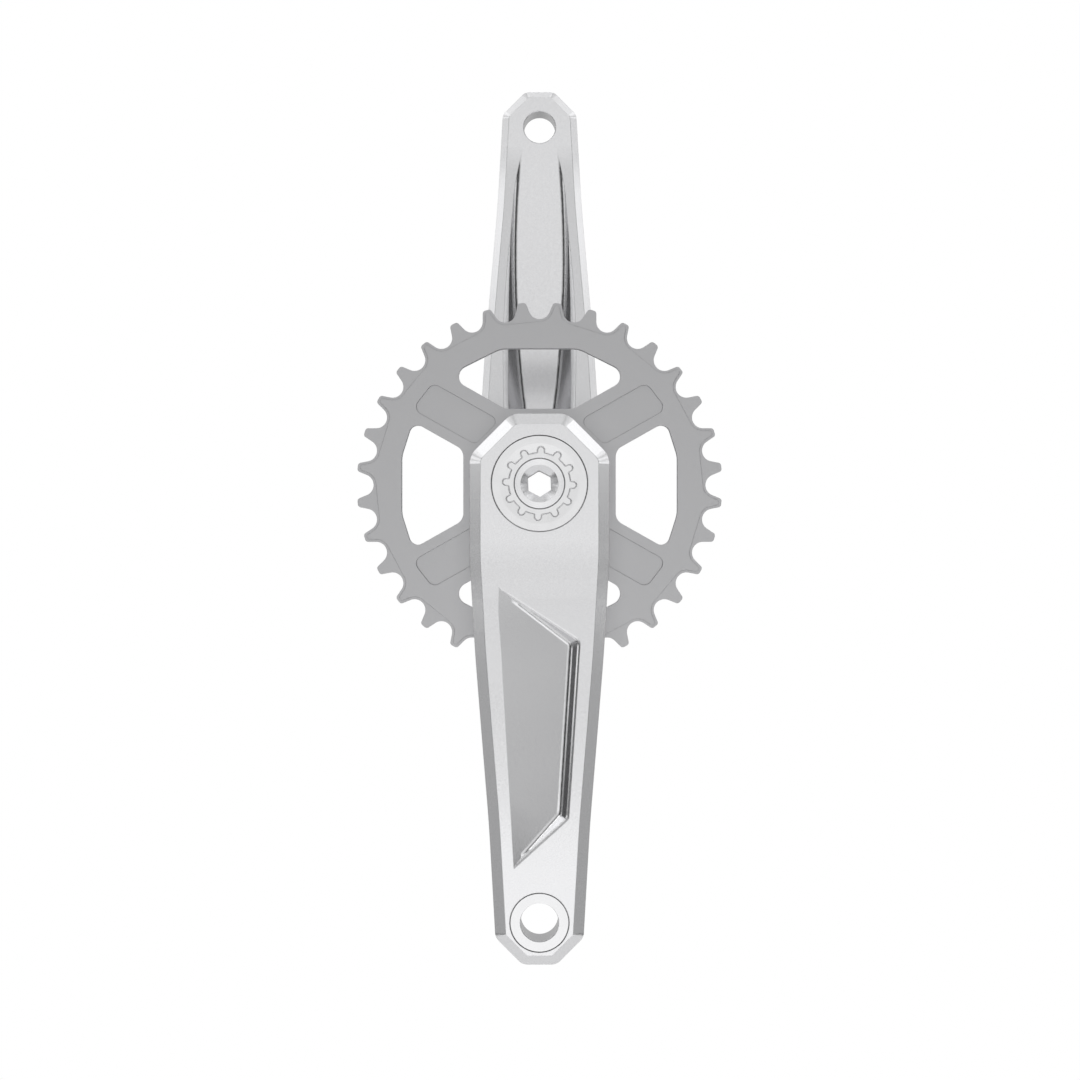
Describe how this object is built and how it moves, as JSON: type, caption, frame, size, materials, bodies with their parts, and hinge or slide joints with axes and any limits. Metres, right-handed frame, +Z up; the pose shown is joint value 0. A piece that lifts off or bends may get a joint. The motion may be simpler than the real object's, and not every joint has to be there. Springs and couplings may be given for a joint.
{
  "type": "bicycle crankset",
  "caption": "Machined aluminium bicycle crankset: two arms on a hollow spindle with a direct-mount chainring.",
  "frame": {"origin": "where the spindle's axis meets the bicycle's centre plane", "axes": "+X forwards on the bicycle, +Y to the non-drive side along the spindle, +Z up along the non-drive arm"},
  "size_m": [0.1334, 0.17, 0.341],
  "materials": {
    "arm_aluminium": "bead-blasted and clear anodised",
    "spindle_aluminium": "turned and hard anodised",
    "bolt_aluminium": "turned and anodised",
    "washer_steel": "satin stainless",
    "ring_aluminium": "turned and clear anodised",
    "chainring_aluminium": "bead-blasted and grey anodised",
    "spacer_aluminium": "turned",
    "collar_aluminium": "machined and anodised",
    "screw_steel": "satin",
    "seal_rubber": "moulded"
  },
  "bodies": {
    "root": {"drive_arm": "arm_aluminium", "non_drive_arm": "arm_aluminium", "spindle": "spindle_aluminium", "crank_bolt": "bolt_aluminium", "bolt_washer": "washer_steel", "extractor_ring": "ring_aluminium", "drive_pedal_washer": "washer_steel", "non_drive_pedal_washer": "washer_steel", "chainring": "chainring_aluminium", "drive_spacer": "spacer_aluminium", "drive_seal_ring": "seal_rubber", "non_drive_seal_ring": "seal_rubber", "preload_collar": "collar_aluminium", "collar_screw": "screw_steel", "chainring_bolt_1": "screw_steel", "chainring_bolt_2": "screw_steel", "chainring_bolt_3": "screw_steel"}
  },
  "joints": []
}
